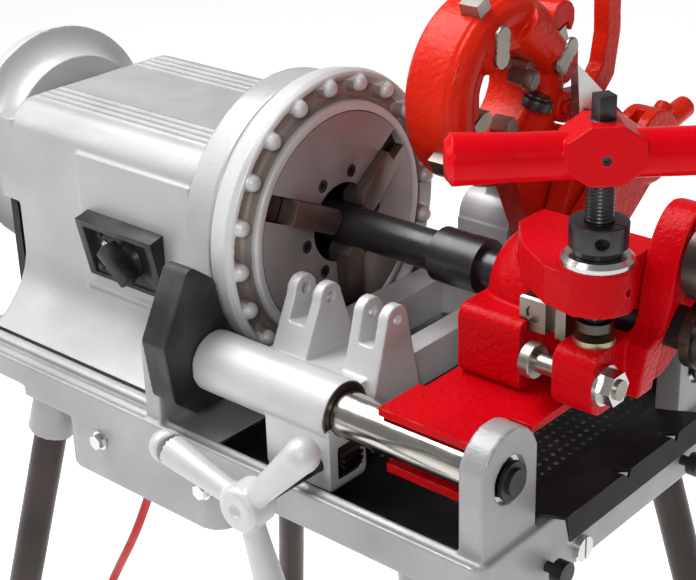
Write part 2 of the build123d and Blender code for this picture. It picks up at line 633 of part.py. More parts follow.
# ---- carriage: barrel on the front rail, fork arms, bridge and rear bush ----
forks = ((24, 58, -62), (89, 121, -88))
barrel_radius = 24
with BuildPart() as carriage_casting:
    rod_x(carriage_left, carriage_right, front_rail_y, front_rail_z, barrel_radius)
    block(56, 118, -151, -112, -134, -80)
    fillet(carriage_casting.edges().filter_by(Axis.Y).group_by(Axis.Z)[0], 10)
    block(20, 112, -126, 96, -92, -60)
    block(30, 106, 88, 139, -108, -58)
    block(36, 86, 102, 146, -60, -20)
    rod_x(36, 86, tool_pivot_y, tool_pivot_z, 22)
    for fork_left, fork_right, fork_root in forks:
        with BuildSketch(side_plane(fork_left)) as fork_side:
            with BuildLine():
                Polyline((-110, fork_root), (-90, -20), (-66, -20), (-52, fork_root), close=True)
            make_face()
        extrude(fork_side.sketch, amount=fork_right - fork_left)
        rod_x(fork_left, fork_right, -78, -20, 12)
        block(fork_left + 9, fork_right - 9, -112, -50, -38, 0, Mode.SUBTRACT)
        rod_x(fork_left - 1, fork_right + 1, -78, -19, 4, Mode.SUBTRACT)
    block(54, 70, 116, 134, -2, 16)
    rod_x(carriage_left - 1, 123, front_rail_y, front_rail_z, rail_radius + running_fit, Mode.SUBTRACT)
    rod_x(29, 107, rear_rail_y, rear_rail_z, rail_radius + running_fit, Mode.SUBTRACT)
    rod_x(35, 87, tool_pivot_y, tool_pivot_z, 9, Mode.SUBTRACT)
    rod_y(pinion_x, -152, -111, pinion_z, 7 + running_fit, Mode.SUBTRACT)
    rod_y(pinion_x, -142, -118, pinion_z, pinion_radius + 0.5, Mode.SUBTRACT)
    block(46, 92, -50, 70, -93, -59, Mode.SUBTRACT)
write(carriage_casting, "carriage_casting")

# ---- carriage handle: a pinion under the front rail, turned by three arms ----
with BuildPart() as pinion_shaft:
    rod_y(pinion_x, -210, -112, pinion_z, 7)
    with BuildSketch(Plane(origin=at(pinion_x, -120, pinion_z), x_dir=(1, 0, 0), z_dir=(0, -1, 0))):
        Circle(pinion_radius)
        with PolarLocations(pinion_radius - 1.2, 22):
            Rectangle(3, 2.4, mode=Mode.SUBTRACT)
    extrude(amount=20)
write(pinion_shaft, "pinion_shaft")

handle_y = -220
with BuildPart() as pinion_handle:
    rod_y(pinion_x, handle_y - 12, handle_y + 12, pinion_z, 17)
    chamfer(pinion_handle.edges().group_by(Axis.Y)[0], 3)
    for arm_angle in (167.5, 47.5, -72.5):
        across, up = polar(1, arm_angle)
        taper((pinion_x + 5 * across, handle_y, pinion_z + 5 * up), (across, 0, up), 75, 8, 12)
        with Locations(at(pinion_x + 80 * across, handle_y, pinion_z + 80 * up)):
            Sphere(12.4)
    rod_y(pinion_x, handle_y + 6, handle_y + 13, pinion_z, 7, Mode.SUBTRACT)
    rod_y(pinion_x, handle_y - 13, handle_y - 9, pinion_z, 5, Mode.SUBTRACT)
write(pinion_handle, "pinion_handle")

# ---- tools on the rear hinge shaft: die head, reamer and cutter, all swung up ----
hinge_radius = 9
hinge_bore = hinge_radius + running_fit
with BuildPart() as tool_hinge_shaft:
    rod_x(30, 168, tool_pivot_y, tool_pivot_z, hinge_radius)
    rod_x(160, 168, tool_pivot_y, tool_pivot_z, 15)
write(tool_hinge_shaft, "tool_hinge_shaft")

die_angles = (113, 210, 283, 20)
lever_axis_y, lever_axis_z = 152, 74
with BuildPart() as die_head:
    rod_x(head_left, head_right, head_y, head_z, 75)
    chamfer(die_head.edges().filter_by(GeomType.CIRCLE), 4)
    rod_x(head_left + 10, head_right + 6, 85, 137, 20)
    rod_x(head_left + 10, head_right + 6, 160, 108, 19)
    rod_x(head_left + 14, head_right, 166, 140, 15)
    with BuildSketch(side_plane(88.3)):
        with BuildLine():
            Polyline((tool_pivot_y - 22, tool_pivot_z), (head_y - 20, head_z - 50), (head_y + 60, head_z - 40),
                     (tool_pivot_y + 22, tool_pivot_z), close=True)
        make_face()
        with Locations((tool_pivot_y, tool_pivot_z)):
            Circle(22)
    extrude(amount=23.7)
    rod_x(head_right - 1, 109, lever_axis_y, lever_axis_z, 6)
    rod_x(87, 113, tool_pivot_y, tool_pivot_z, hinge_bore, Mode.SUBTRACT)
    rod_x(head_left - 1, 113, head_y, head_z, 34, Mode.SUBTRACT)
    with BuildSketch(side_plane(76)):
        for angle in die_angles:
            with Locations(Location((head_y, head_z, 0), (0, 0, angle))):
                with Locations((60, 0)):
                    Rectangle(60, 14)
    extrude(amount=26, mode=Mode.SUBTRACT)
write(die_head, "die_head")

with BuildPart() as threading_dies:
    for angle in die_angles:
        die_plane = Plane(origin=at(76, head_y, head_z), x_dir=(0, *polar(1, angle)), z_dir=(1, 0, 0))
        with BuildSketch(die_plane):
            with BuildLine():
                Polyline((24, -4), (24, 4), (31, 7), (84, 7), (84, -7), (31, -7), close=True)
            make_face()
        extrude(amount=17)
write(threading_dies, "threading_dies")

with BuildPart() as die_lever:
    with BuildSketch(side_plane(92.3)):
        with BuildLine():
            Polyline((lever_axis_y - 1, lever_axis_z - 13), (196, 62), (220, 84), (227, 120), (225, 160), (210, 205),
                     (192, 198), (205, 158), (207, 122), (202, 98), (188, 82), (lever_axis_y - 1, lever_axis_z + 12),
                     close=True)
        make_face()
        with Locations((lever_axis_y, lever_axis_z), (201, 201.5)):
            Circle(12.5)
    extrude(amount=14)
    rod_x(92, 107, lever_axis_y, lever_axis_z, 6 + running_fit, Mode.SUBTRACT)
write(die_lever, "die_lever")

with BuildPart() as reamer_arm:
    with BuildSketch(side_plane(114)):
        with Locations((tool_pivot_y, tool_pivot_z)):
            Circle(22)
        with BuildLine():
            Polyline((tool_pivot_y - 22, tool_pivot_z), (138, 62), (150, 78), (200, 54), (182, 34),
                     (tool_pivot_y + 22, tool_pivot_z), close=True)
        make_face()
    extrude(amount=18)
    rod_x(113, 133, tool_pivot_y, tool_pivot_z, hinge_bore, Mode.SUBTRACT)
    block(119, 127, 100, 240, 50, 130, Mode.SUBTRACT)
write(reamer_arm, "reamer_arm")

with BuildPart() as reamer_blade:
    with BuildSketch(side_plane(119.5)):
        with BuildLine():
            Polyline((134, 118), (142, 50.2), (186, 50.2), (212, 52), close=True)
        make_face()
    extrude(amount=7)
write(reamer_blade, "reamer_blade")

cut_across, cut_up = polar(1, 36)
cut_y, cut_z = 204, 38
with BuildPart() as pipe_cutter:
    with BuildSketch(side_plane(134)):
        with Locations((tool_pivot_y, tool_pivot_z), (cut_y, cut_z)):
            Circle(22)
        with BuildLine():
            Polyline((tool_pivot_y - 12, tool_pivot_z + 18), (cut_y - 13, cut_z + 18), (cut_y + 13, cut_z - 18),
                     (tool_pivot_y + 12, tool_pivot_z - 18), close=True)
        make_face()
    extrude(amount=24)
    rod_x(132.5, 160, cut_y, cut_z, 30)
    block(142, 150, cut_y - 34, cut_y - 4, cut_z - 34, cut_z + 34, Mode.SUBTRACT)
    rod_x(131, 161, tool_pivot_y, tool_pivot_z, hinge_bore, Mode.SUBTRACT)
    rod((146, cut_y, cut_z), (0, cut_across, cut_up), 40, 6 + running_fit, Mode.SUBTRACT)
write(pipe_cutter, "pipe_cutter")

with BuildPart() as cutter_wheel:
    rod_x(142.4, 149.6, cut_y - 20, cut_z - 6, 11)
write(cutter_wheel, "cutter_wheel")

with BuildPart() as cutter_screw:
    rod((146, cut_y + 2 * cut_across, cut_z + 2 * cut_up), (0, cut_across, cut_up), 50, 6)
    rod((146, cut_y + 40 * cut_across, cut_z + 40 * cut_up), (0, cut_across, cut_up), 14, 10)
write(cutter_screw, "cutter_screw")

# ---- power cord: strain relief, a falling run, a coil on the floor and a plug ----
cord_start = Vector(-120, -100, sump_bottom)
cord_direction = Vector(-0.364, 0, -0.931).normalized()
relief_length = 36
with BuildPart() as strain_relief:
    rod((-120, -100, sump_bottom + 3), (0, 0, -1), 3, 11)
    taper(tuple(cord_start - cord_direction * 6), tuple(cord_direction), relief_length + 6, 9, 5.5)
    block(-140, -100, -120, -80, sump_bottom, sump_bottom + 12, Mode.SUBTRACT)
write(strain_relief, "strain_relief")

relief_end = cord_start + cord_direction * relief_length
first_bend = relief_end + cord_direction * 64
floor = -spindle_height
cord_points = [tuple(relief_end), tuple(first_bend), (-212, -101, -382), (-258, -104, -480), (-290, -108, -588),
               (-305, -112, -700), (-308, -116, -800), (-309, -117, floor + cord_radius),
               (-309, -27, floor + cord_radius)]
path_points = [Vector(*at(*point)) for point in cord_points]
bend_radii = []
for before, here, after in zip(path_points, path_points[1:], path_points[2:]):
    shorter = min((here - before).length, (after - here).length)
    half_turn = math.radians((here - before).get_angle(after - here)) / 2
    bend_radii.append(0.45 * shorter / math.tan(half_turn))
print("cord bend radii", [round(radius) for radius in bend_radii])
coil_x, coil_y, coil_inner, coil_outer, coil_height = -257, -2, 31.5, 56.5, 33
tail_y = coil_y + coil_outer - 4.5
tail_points = [Vector(*at(*point)) for point in
               ((coil_x + 20, tail_y, floor + 28.6), (coil_x + 52, tail_y, floor + 24),
                (coil_x + 88, tail_y, floor + 15), (coil_x + 118, tail_y, floor + 12.5))]
plug_start = tail_points[-1]
with BuildPart() as power_cord:
    with BuildLine() as cord_path:
        FilletPolyline(*path_points, radius=bend_radii)
    with BuildSketch(Plane(origin=path_points[0], z_dir=path_points[1] - path_points[0])):
        Circle(cord_radius)
    sweep(path=cord_path.line)
    with BuildLine() as tail_path:
        FilletPolyline(*tail_points, radius=[110, 90])
    with BuildSketch(Plane(origin=tail_points[0], z_dir=tail_points[1] - tail_points[0])):
        Circle(cord_radius)
    sweep(path=tail_path.line)
write(power_cord, "power_cord")
cord_length = sum(edge.length for edge in cord_path.line.edges() + tail_path.line.edges())
print("cord length", round(cord_length), "volume over section times length",
      round(power_cord.part.volume / (math.pi * cord_radius**2 * cord_length), 3))

with BuildPart() as cord_coil:
    with BuildSketch(Plane(origin=at(coil_x, coil_y, floor), x_dir=(1, 0, 0), z_dir=(0, -1, 0))):
        with Locations(((coil_inner + coil_outer) / 2, coil_height / 2)):
            RectangleRounded(coil_outer - coil_inner, coil_height, 5)
    revolve(axis=Axis(at(coil_x, coil_y, 0), (0, 0, 1)))
write(cord_coil, "cord_coil")

plug_x = plug_start.X
plug_z = floor + 12.5
with BuildPart() as plug:
    taper((plug_x, tail_y, plug_z), (1, 0, 0), 18, 6.5, 12.5)
    rod_x(plug_x + 18, plug_x + 44, tail_y, plug_z, 12.5)
    for prong_y in (-5, 5):
        rod_x(plug_x + 44, plug_x + 60, tail_y + prong_y, plug_z + 3, 2)
    rod_x(plug_x + 44, plug_x + 62, tail_y, plug_z - 5, 2.2)
write(plug, "plug")
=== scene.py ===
"""Looks for a pipe threading machine with a roll groover: castings, turned steel, paint, cord and studio.

Lengths in the helpers are millimetres, with z measured from the spindle axis, as on the machine's drawing.
"""

import math

import bmesh
import bpy
from mathutils import Matrix, Vector


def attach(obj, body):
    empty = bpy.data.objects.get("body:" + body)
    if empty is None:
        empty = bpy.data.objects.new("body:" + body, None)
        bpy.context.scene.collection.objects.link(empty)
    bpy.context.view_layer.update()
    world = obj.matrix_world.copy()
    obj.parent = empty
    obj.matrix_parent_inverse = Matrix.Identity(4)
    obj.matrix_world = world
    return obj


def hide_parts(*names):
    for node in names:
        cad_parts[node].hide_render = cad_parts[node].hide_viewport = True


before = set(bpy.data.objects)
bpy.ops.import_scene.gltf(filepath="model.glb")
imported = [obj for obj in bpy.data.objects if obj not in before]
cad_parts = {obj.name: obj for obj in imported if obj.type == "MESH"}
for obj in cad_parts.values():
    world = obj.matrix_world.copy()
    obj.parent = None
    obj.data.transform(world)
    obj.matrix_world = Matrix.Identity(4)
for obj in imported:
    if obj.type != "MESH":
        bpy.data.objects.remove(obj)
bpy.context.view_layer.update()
scene = bpy.context.scene

# ---- places of the machine that several pieces share, mm ----
spindle_height = 900
sump_exit = Vector((-120, -100, -197))
switch_x, switch_y, switch_z = -137, -98, -34
knob_count = 20
jaw_angles = (155, 35, 275)
screw_x, screw_y, handle_z = 273, -60, 134
die_head_x = 92


def place(x, y, z):
    return Vector((x, y, z + spindle_height)) / 1000


# ---- materials ----
def new_material(name, color, metallic, roughness, specular=0.5):
    material = bpy.data.materials.new(name)
    material.use_nodes = True
    shader = material.node_tree.nodes["Principled BSDF"]
    shader.inputs["Base Color"].default_value = (*color, 1)
    shader.inputs["Metallic"].default_value = metallic
    shader.inputs["Roughness"].default_value = roughness
    shader.inputs["Specular IOR Level"].default_value = specular
    return material, material.node_tree, shader


def noise(tree, scale, detail=3, stretch=(1, 1, 1), rough=0.5):
    """A noise texture in the object's own metres."""
    coordinates = tree.nodes.new("ShaderNodeTexCoord")
    mapping = tree.nodes.new("ShaderNodeMapping")
    mapping.inputs["Scale"].default_value = stretch
    texture = tree.nodes.new("ShaderNodeTexNoise")
    texture.inputs["Scale"].default_value = scale
    texture.inputs["Detail"].default_value = detail
    texture.inputs["Roughness"].default_value = rough
    tree.links.new(coordinates.outputs["Object"], mapping.inputs["Vector"])
    tree.links.new(mapping.outputs["Vector"], texture.inputs["Vector"])
    return texture.outputs["Fac"]


def ramp(tree, value, low, high, first, last):
    node = tree.nodes.new("ShaderNodeValToRGB")
    node.color_ramp.elements[0].position = low
    node.color_ramp.elements[1].position = high
    node.color_ramp.elements[0].color = (*first, 1)
    node.color_ramp.elements[1].color = (*last, 1)
    tree.links.new(value, node.inputs["Fac"])
    return node.outputs["Color"]


def spread(tree, value, low, high, to_low, to_high):
    node = tree.nodes.new("ShaderNodeMapRange")
    node.inputs["From Min"].default_value = low
    node.inputs["From Max"].default_value = high
    node.inputs["To Min"].default_value = to_low
    node.inputs["To Max"].default_value = to_high
    tree.links.new(value, node.inputs["Value"])
    return node.outputs["Result"]


def edge_wear_and_highlight_mask(tree, radius=0.0012):
    """One on sharp edges and zero on flat ground, from the bevelled normal; it lightens edges as wear and as a
    painted highlight.
    """
    bevel = tree.nodes.new("ShaderNodeBevel")
    bevel.samples = 4
    bevel.inputs["Radius"].default_value = radius
    geometry = tree.nodes.new("ShaderNodeNewGeometry")
    dot = tree.nodes.new("ShaderNodeVectorMath")
    dot.operation = "DOT_PRODUCT"
    tree.links.new(bevel.outputs["Normal"], dot.inputs[0])
    tree.links.new(geometry.outputs["Normal"], dot.inputs[1])
    return spread(tree, dot.outputs["Value"], 0.995, 0.90, 0, 1)


def mix(tree, factor, first, last):
    node = tree.nodes.new("ShaderNodeMix")
    node.data_type = "RGBA"
    for socket, value in ((node.inputs["Factor"], factor), (node.inputs["A"], first), (node.inputs["B"], last)):
        if isinstance(value, tuple):
            socket.default_value = (*value, 1)
        else:
            tree.links.new(value, socket)
    return node.outputs["Result"]


def bump(tree, shader, height, strength, distance):
    node = tree.nodes.new("ShaderNodeBump")
    node.inputs["Strength"].default_value = strength
    node.inputs["Distance"].default_value = distance
    tree.links.new(height, node.inputs["Height"])
    tree.links.new(node.outputs["Normal"], shader.inputs["Normal"])
    return node


def cast_paint(name, color, shade, roughness, grain, depth, coat=0.0, metallic=0.0, stains=(0.3, 0.26, 0.2),
               specular=0.5):
    """Paint on a casting: a pebbled skin, slow colour drift, faint handling marks and lighter edges, partly bare
    worn paint and partly a painted highlight.
    """
    material, tree, shader = new_material(name, color, metallic, roughness, specular)
    drift = ramp(tree, noise(tree, 14, 4), 0.35, 0.68, shade, color)
    marks = ramp(tree, noise(tree, 9, 6, rough=0.7), 0.60, 0.78, (0, 0, 0), (0.35, 0.35, 0.35))
    dirty = mix(tree, marks, drift, stains)
    edge = mix(tree, spread(tree, noise(tree, 60, 3), 0.45, 0.7, 0, 0.4), (0, 0, 0), (1, 1, 1))
    worn_and_highlit = tree.nodes.new("ShaderNodeMath")
    worn_and_highlit.operation = "MULTIPLY"
    tree.links.new(edge_wear_and_highlight_mask(tree), worn_and_highlit.inputs[0])
    tree.links.new(edge, worn_and_highlit.inputs[1])
    # Patchy lighter sharp edges: partly bare worn paint, partly a painted highlight along the edges.
    edge_wear_and_highlight_colour = tuple(min(1, 0.55 * c + 0.35) for c in color)
    tree.links.new(mix(tree, worn_and_highlit.outputs[0], dirty, edge_wear_and_highlight_colour), shader.inputs["Base Color"])
    tree.links.new(spread(tree, noise(tree, 35, 4), 0.3, 0.7, roughness - 0.07, roughness + 0.1),
                   shader.inputs["Roughness"])
    bump(tree, shader, noise(tree, grain, 2), 0.6, depth)
    shader.inputs["Coat Weight"].default_value = coat
    shader.inputs["Coat Roughness"].default_value = 0.18
    return material


def turned_metal(name, color, roughness, stretch, scale=260, depth=0.00002, shade=0.75, metallic=1.0):
    """Machined steel: fine tool lines drawn out along the cut, with oil staining."""
    material, tree, shader = new_material(name, color, metallic, roughness)
    darker = tuple(shade * c for c in color)
    tone = ramp(tree, noise(tree, 20, 5), 0.3, 0.7, darker, color)
    lines = noise(tree, scale, 2, stretch)
    streaked = mix(tree, spread(tree, lines, 0.35, 0.65, 0.0, 0.35), tone, darker)
    tree.links.new(streaked, shader.inputs["Base Color"])
    tree.links.new(spread(tree, noise(tree, 45, 4), 0.3, 0.7, roughness - 0.06, roughness + 0.12),
                   shader.inputs["Roughness"])
    bump(tree, shader, lines, 0.4, depth)
    return material


def moulded(name, color, roughness, grain=900, depth=0.00008, dust=0.35):
    """Moulded plastic or rubber with a fine leather grain and patches of dust."""
    material, tree, shader = new_material(name, color, 0, roughness, 0.25)
    dusty = tuple(c + 0.05 * dust + 0.02 for c in color)
    tone = ramp(tree, noise(tree, 25, 5), 0.4, 0.75, color, dusty)
    tree.links.new(tone, shader.inputs["Base Color"])
    tree.links.new(spread(tree, noise(tree, 60, 4), 0.3, 0.7, roughness - 0.08, roughness + 0.08),
                   shader.inputs["Roughness"])
    bump(tree, shader, noise(tree, grain, 2), 0.5, depth)
    return material


grey_paint = cast_paint("silver_grey_paint", (0.415, 0.42, 0.43), (0.35, 0.355, 0.36), 0.36, 420, 0.00035,
                        coat=0.15, metallic=0.2, stains=(0.37, 0.33, 0.27), specular=0.4)
base_paint = cast_paint("base_grey_paint", (0.345, 0.345, 0.35), (0.285, 0.285, 0.29), 0.38, 400, 0.0004,
                        coat=0.1, metallic=0.2, stains=(0.33, 0.29, 0.24), specular=0.35)
light_metal = cast_paint("light_cast_aluminium", (0.56, 0.56, 0.565), (0.47, 0.47, 0.47), 0.42, 520, 0.0003,
                         metallic=0.2, stains=(0.40, 0.38, 0.35), specular=0.4)
channel_paint = cast_paint("dulled_channel_aluminium", (0.36, 0.32, 0.29), (0.25, 0.215, 0.19), 0.5, 300, 0.0005,
                           metallic=0.3, stains=(0.12, 0.09, 0.07), specular=0.3)
crimson = cast_paint("crimson_cast_paint", (0.50, 0.001, 0.005), (0.40, 0.001, 0.004), 0.30, 250, 0.0016,
                     coat=0.02, stains=(0.33, 0.003, 0.006), specular=0.06)
crimson_gloss = cast_paint("crimson_gloss_paint", (0.60, 0.001, 0.005), (0.50, 0.001, 0.005), 0.20, 110, 0.0002,
                           coat=0.05, stains=(0.40, 0.003, 0.006), specular=0.06)
orange = cast_paint("orange_red_cast_paint", (0.62, 0.020, 0.005), (0.48, 0.010, 0.004), 0.25, 200, 0.0014,
                    coat=0.06, stains=(0.36, 0.012, 0.005), specular=0.09)
leg_paint = cast_paint("dark_leg_paint", (0.040, 0.027, 0.024), (0.024, 0.017, 0.015), 0.34, 500, 0.0001,
                       coat=0.08, stains=(0.08, 0.065, 0.055), specular=0.2)
black_paint = cast_paint("black_sheet_paint", (0.010, 0.009, 0.009), (0.006, 0.006, 0.006), 0.40, 700, 0.0001,
                         coat=0.06, stains=(0.04, 0.033, 0.03), specular=0.18)
chuck_steel = turned_metal("turned_chuck_face", (0.34, 0.32, 0.315), 0.48, (1, 1, 1), scale=500, metallic=0.45)
rail_steel = turned_metal("ground_rail_steel", (0.56, 0.53, 0.49), 0.16, (1, 12, 12), scale=160)
bright_steel = turned_metal("bright_turned_steel", (0.70, 0.69, 0.67), 0.22, (1, 1, 10), scale=150)
zinc_steel = turned_metal("yellowed_zinc_steel", (0.50, 0.43, 0.28), 0.36, (1, 1, 1), scale=200)
dark_steel = turned_metal("oiled_dark_steel", (0.10, 0.085, 0.075), 0.34, (1, 1, 1), scale=300)
jaw_steel = turned_metal("brown_jaw_steel", (0.20, 0.155, 0.13), 0.40, (1, 1, 1), scale=300, metallic=0.85)
black_oxide = turned_metal("black_oxide_steel", (0.014, 0.012, 0.015), 0.30, (1, 8, 8), scale=200, depth=0.000004,
                           shade=0.7, metallic=0.0)
die_steel = turned_metal("grey_die_steel", (0.36, 0.33, 0.29), 0.34, (1, 1, 1), scale=350)
black_plastic = moulded("black_plastic", (0.010, 0.009, 0.010), 0.36)
black_rubber = moulded("black_rubber", (0.016, 0.013, 0.014), 0.45, 600, 0.00015)
cord_rubber = moulded("red_cord_sheath", (0.42, 0.012, 0.010), 0.42, 700, 0.00012, dust=0.6)


# ---- mesh building ----
class Shape:
    """Closed primitives gathered in one mesh."""

    def __init__(self):
        self.mesh = bmesh.new()

    def _take(self, vertices, matrix):
        bmesh.ops.transform(self.mesh, matrix=matrix, verts=vertices)
        return self

    def box(self, x0, x1, y0, y1, z0, z1):
        low, high = place(x0, y0, z0), place(x1, y1, z1)
        made = bmesh.ops.create_cube(self.mesh, size=1)["verts"]
        size = high - low
        return self._take(made, Matrix.Translation((low + high) / 2) @ Matrix.Diagonal((*size, 1)))

    def rod(self, start, direction, length, radius, end_radius=None, sides=64):
        end_radius = radius if end_radius is None else end_radius
        made = bmesh.ops.create_cone(self.mesh, cap_ends=True, segments=sides, radius1=radius / 1000,
                                     radius2=end_radius / 1000, depth=length / 1000)["verts"]
        way = Vector(direction).normalized()
        middle = place(*start) + way * (length / 2000)
        return self._take(made, Matrix.Translation(middle) @ way.to_track_quat("Z", "Y").to_matrix().to_4x4())

    def ball(self, centre, radius, scale=(1, 1, 1)):
        made = bmesh.ops.create_uvsphere(self.mesh, u_segments=40, v_segments=20, radius=radius / 1000)["verts"]
        return self._take(made, Matrix.Translation(place(*centre)) @ Matrix.Diagonal((*scale, 1)))

    def prism(self, axis, low, high, points):
        """A polygon pulled from low to high along x, y or z; its points give the other two coordinates in order."""
        def corner(at, first, second):
            return place(*{"x": (at, first, second), "y": (first, at, second), "z": (first, second, at)}[axis])

        near = [self.mesh.verts.new(corner(low, *point)) for point in points]
        far = [self.mesh.verts.new(corner(high, *point)) for point in points]
        count = len(points)
        faces = [self.mesh.faces.new(near[::-1]), self.mesh.faces.new(far)]
        for i in range(count):
            faces.append(self.mesh.faces.new((near[i], near[(i + 1) % count], far[(i + 1) % count], far[i])))
        bmesh.ops.recalc_face_normals(self.mesh, faces=faces)
        return self

    def block_between(self, near_corners, far_corners):
        """A solid between two outlines with as many corners each, given as points of the frame."""
        near = [self.mesh.verts.new(point) for point in near_corners]
        far = [self.mesh.verts.new(point) for point in far_corners]
        count = len(near)
        faces = [self.mesh.faces.new(near[::-1]), self.mesh.faces.new(far)]
        for i in range(count):
            faces.append(self.mesh.faces.new((near[i], near[(i + 1) % count], far[(i + 1) % count], far[i])))
        bmesh.ops.recalc_face_normals(self.mesh, faces=faces)
        return self

    def lathe(self, origin, direction, profile, sides=96):
        """A closed ring or solid turned about an axis; the profile gives (distance along, radius)."""
        way = Vector(direction).normalized()
        side = way.orthogonal().normalized()
        other = way.cross(side)
        centre = place(*origin)
        rings = []
        for along, radius in profile:
            middle = centre + way * along / 1000
            if radius < 1e-6:
                rings.append([self.mesh.verts.new(middle)])
                continue
            rings.append([self.mesh.verts.new(middle + (side * math.cos(2 * math.pi * k / sides)
                          + other * math.sin(2 * math.pi * k / sides)) * radius / 1000) for k in range(sides)])
        faces = []
        hollow = all(radius > 1e-6 for _, radius in profile)
        pairs = list(zip(rings, rings[1:])) + ([(rings[-1], rings[0])] if hollow else [])
        for first, second in pairs:
            for k in range(sides):
                a, b = first[k % len(first)], first[(k + 1) % len(first)]
                c, d = second[(k + 1) % len(second)], second[k % len(second)]
                corners = list(dict.fromkeys((a, b, c, d)))
                if len(corners) > 2:
                    faces.append(self.mesh.faces.new(corners))
        bmesh.ops.recalc_face_normals(self.mesh, faces=faces)
        return self

    def node(self, name):
        """A copy of a CAD node's own mesh, welded."""
        before = len(self.mesh.verts)
        self.mesh.from_mesh(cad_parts[name].data)
        self.mesh.verts.ensure_lookup_table()
        bmesh.ops.remove_doubles(self.mesh, verts=self.mesh.verts[before:], dist=1e-6)
        return self

    def done(self, name):
        data = bpy.data.meshes.new(name)
        self.mesh.to_mesh(data)
        self.mesh.free()
        thing = bpy.data.objects.new(name, data)
        scene.collection.objects.link(thing)
        return thing


def bake(thing):
    """Applies the modifiers."""
    graph = bpy.context.evaluated_depsgraph_get()
    data = bpy.data.meshes.new_from_object(thing.evaluated_get(graph))
    thing.modifiers.clear()
    thing.data = data


def finish_piece(thing, material, body, nodes):
    thing.data.materials.clear()
    thing.data.materials.append(material)
    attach(thing, body)
    if nodes:
        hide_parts(*nodes)
    return thing


def subtract(thing, shape):
    cutter = shape.done(thing.name + "_cutter")
    boolean = thing.modifiers.new("cut", "BOOLEAN")
    boolean.operation = "DIFFERENCE"
    boolean.solver = "EXACT"
    boolean.use_self = True
    boolean.object = cutter
    bake(thing)
    bpy.data.objects.remove(cutter)


def cast(name, shape, material, body, nodes=(), voxel=1.2, soften=6, holes=None, early=None):
    """A casting: the shapes are fused, their edges rounded off, and machined holes are cut afterwards.

    The shape early is cut away before the fuse, so its edges are rounded like the rest.
    """
    thing = shape.done(name)
    if early is not None:
        subtract(thing, early)
    remesh = thing.modifiers.new("fuse", "REMESH")
    remesh.mode = "VOXEL"
    remesh.voxel_size = voxel / 1000 * 1
    smooth = thing.modifiers.new("soften", "SMOOTH")
    smooth.factor = 0.5
    smooth.iterations = soften
    bake(thing)
    if holes is not None:
        subtract(thing, holes)
    thing.data.shade_smooth()
    thing.data.set_sharp_from_angle(angle=math.radians(50))
    return finish_piece(thing, material, body, nodes)


def machined(name, shape, material, body, nodes=(), bevel=0.6, holes=None):
    """A machined piece: crisp faces with a fine edge break."""
    thing = shape.done(name)
    if holes is not None:
        subtract(thing, holes)
    edge = thing.modifiers.new("edge", "BEVEL")
    edge.width = bevel / 1000
    edge.segments = 2
    edge.limit_method = "ANGLE"
    edge.angle_limit = math.radians(32)
    bake(thing)
    thing.data.shade_smooth()
    thing.data.set_sharp_from_angle(angle=math.radians(38))
    return finish_piece(thing, material, body, nodes)


def polar(radius, degrees):
    return radius * math.cos(math.radians(degrees)), radius * math.sin(math.radians(degrees))


# ---- camera ----
azimuth, elevation, roll = math.radians(41.965), math.radians(24.976), math.radians(-1.784)
back = Vector((math.sin(azimuth) * math.cos(elevation), -math.cos(azimuth) * math.cos(elevation),
               math.sin(elevation)))
right = Vector((math.cos(azimuth), math.sin(azimuth), 0))
up = back.cross(right)
camera_data = bpy.data.cameras.new("camera")
camera_data.lens = 81.34
camera_data.sensor_width = 36
camera_place = Matrix.Translation((0.7654, -0.8461, 1.3723))
camera = bpy.data.objects.new("camera", camera_data)
scene.collection.objects.link(camera)
turned_right = math.cos(roll) * right + math.sin(roll) * up
turned_up = -math.sin(roll) * right + math.cos(roll) * up
camera.matrix_world = camera_place @ Matrix((turned_right, turned_up, back)).transposed().to_4x4()
scene.camera = camera

# ---- power cord ----
cord_direction = Vector((-0.364, 0, -0.931)).normalized()
relief_length = 36
cord_start = sump_exit + cord_direction * relief_length
cord_diameter = 0.008
floor_line = -896
route = [tuple(cord_start), (-156.4, -100, -290.1), (-212, -101, -382), (-258, -104, -480), (-290, -108, -588),
         (-305, -112, -700), (-308, -116, -800), (-309, -117, floor_line), (-309, -27, floor_line)]
coil_x, coil_y, coil_radius, coil_step, turn_points = -257, -2, 52.2, 8.15, 14
layer_count, layer_height = 4, 8.2
turn = 0.0
for layer in range(layer_count):
    inward = layer % 2 == 0
    layer_z = floor_line + layer_height * layer
    for step in range(1, 2 * turn_points + 1):
        turn += 1 / turn_points
        done = step / turn_points
        radius = coil_radius - coil_step * (done if inward else 2 - done)
        bearing = math.pi - 2 * math.pi * turn
        route.append((coil_x + radius * math.cos(bearing), coil_y + radius * math.sin(bearing), layer_z))
    last = layer == layer_count - 1
    for step in range(1, 4):
        turn += 1 / turn_points
        bearing = math.pi - 2 * math.pi * turn
        rise = 0 if last else layer_height * step / 3
        if not last or bearing % (2 * math.pi) > math.pi / 2:
            route.append((coil_x + radius * math.cos(bearing), coil_y + radius * math.sin(bearing), layer_z + rise))
route += [(coil_x + 20, coil_y + 52, -871.4), (coil_x + 52, coil_y + 52, -876), (coil_x + 88, coil_y + 52, -885),
          (coil_x + 118, coil_y + 52, -887.5)]
cord_curve = bpy.data.curves.new("mains_cord", "CURVE")
cord_curve.dimensions = "3D"
line = cord_curve.splines.new("NURBS")
line.points.add(len(route) - 1)
for point, position in zip(line.points, route):
    point.co = (*place(*position), 1)
line.order_u = 3
line.use_endpoint_u = True
line.resolution_u = 6
cord_curve.bevel_depth = cord_diameter / 2
cord_curve.bevel_resolution = 6
cord_curve.use_fill_caps = True
cord_curve.materials.append(cord_rubber)
mains_cord = bpy.data.objects.new("mains_cord", cord_curve)
scene.collection.objects.link(mains_cord)
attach(mains_cord, "frame")
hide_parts("power_cord", "cord_coil")

